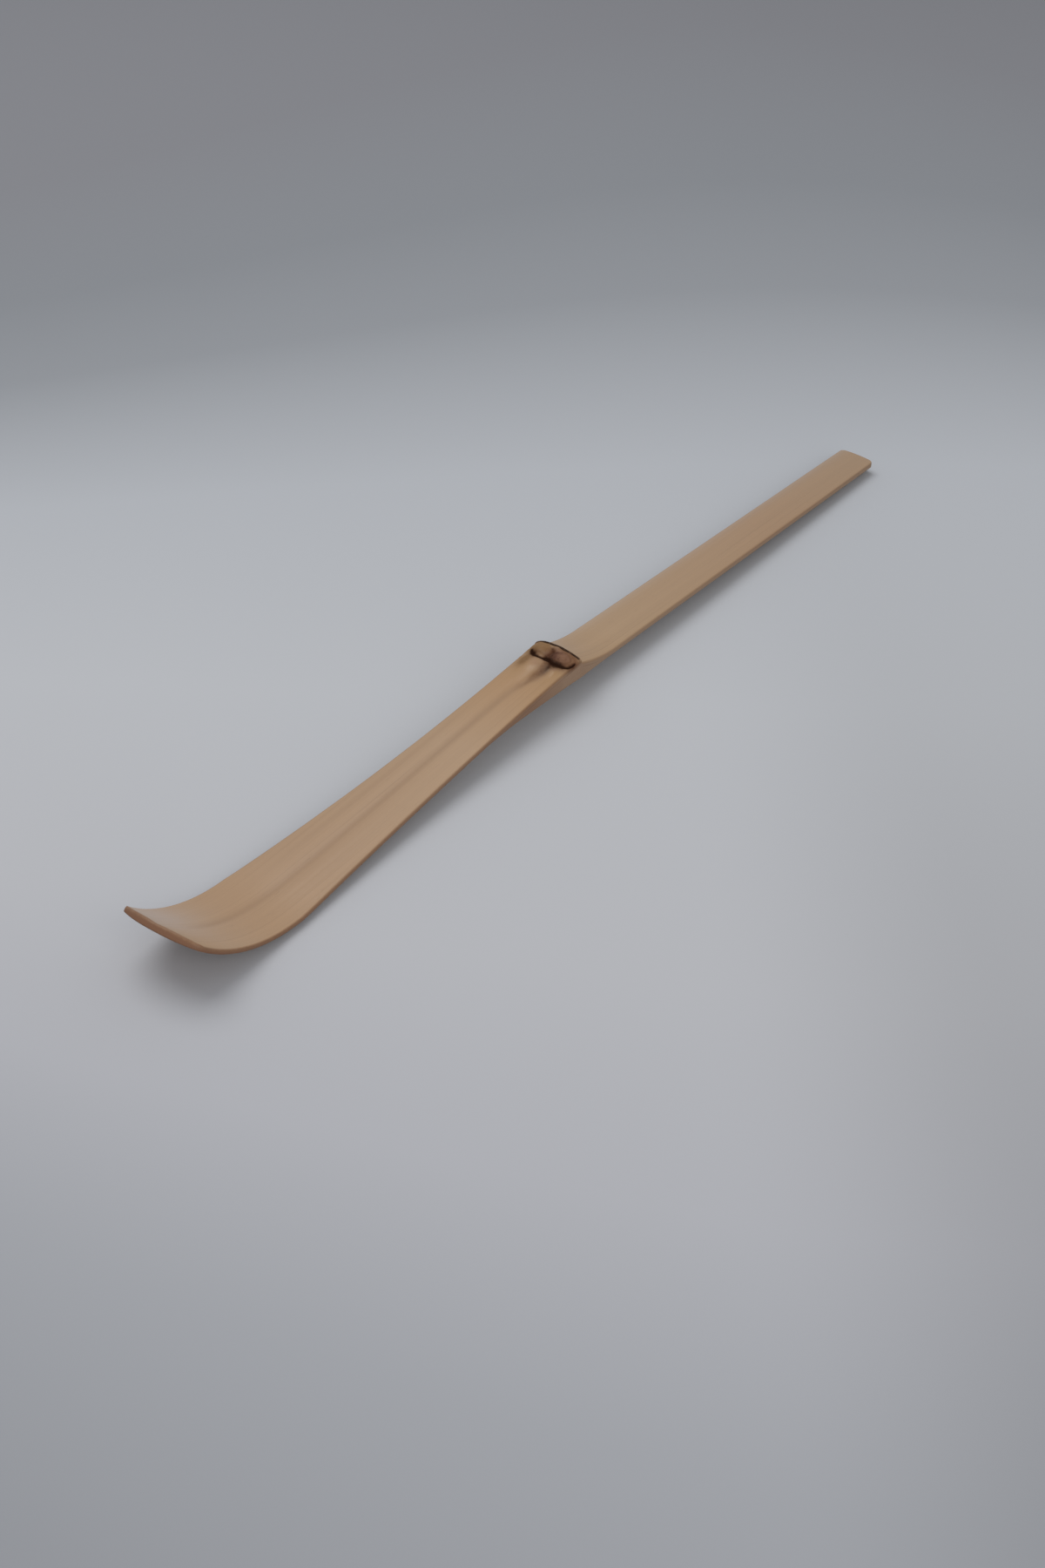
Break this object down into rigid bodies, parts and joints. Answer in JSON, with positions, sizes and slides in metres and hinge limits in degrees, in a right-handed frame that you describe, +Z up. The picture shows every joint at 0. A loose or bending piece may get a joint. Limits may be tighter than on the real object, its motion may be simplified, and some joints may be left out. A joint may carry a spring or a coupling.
{
  "type": "tea scoop",
  "caption": "Slim bamboo scoop for powdered tea: a straight flat handle, a raised node with a dark bud scar, and a thin blade that widens to a heat-bent, upturned tip.",
  "frame": {"origin": "centre of the scoop's box, on the surface that it lies on", "axes": "+X from the tip to the handle's butt, +Y to the left edge seen from the tip towards the butt, +Z up, out of the scooping face"},
  "size_m": [0.181, 0.013, 0.0087],
  "materials": {
    "bamboo_skin": "satin, fine lengthwise grain",
    "bamboo_flesh": "whittled, matte, fibres along the strip",
    "bamboo_node": "satin, uneven",
    "sheath_scar": "matte, dark",
    "bud_scar": "matte, dark red-brown"
  },
  "bodies": {
    "root": {"handle_flesh": "bamboo_flesh", "handle_skin": "bamboo_skin", "node_wall": "bamboo_node", "sheath_rim": "sheath_scar", "bud_knot": "bud_scar", "blade_flesh": "bamboo_flesh", "blade_skin": "bamboo_skin"}
  },
  "joints": []
}
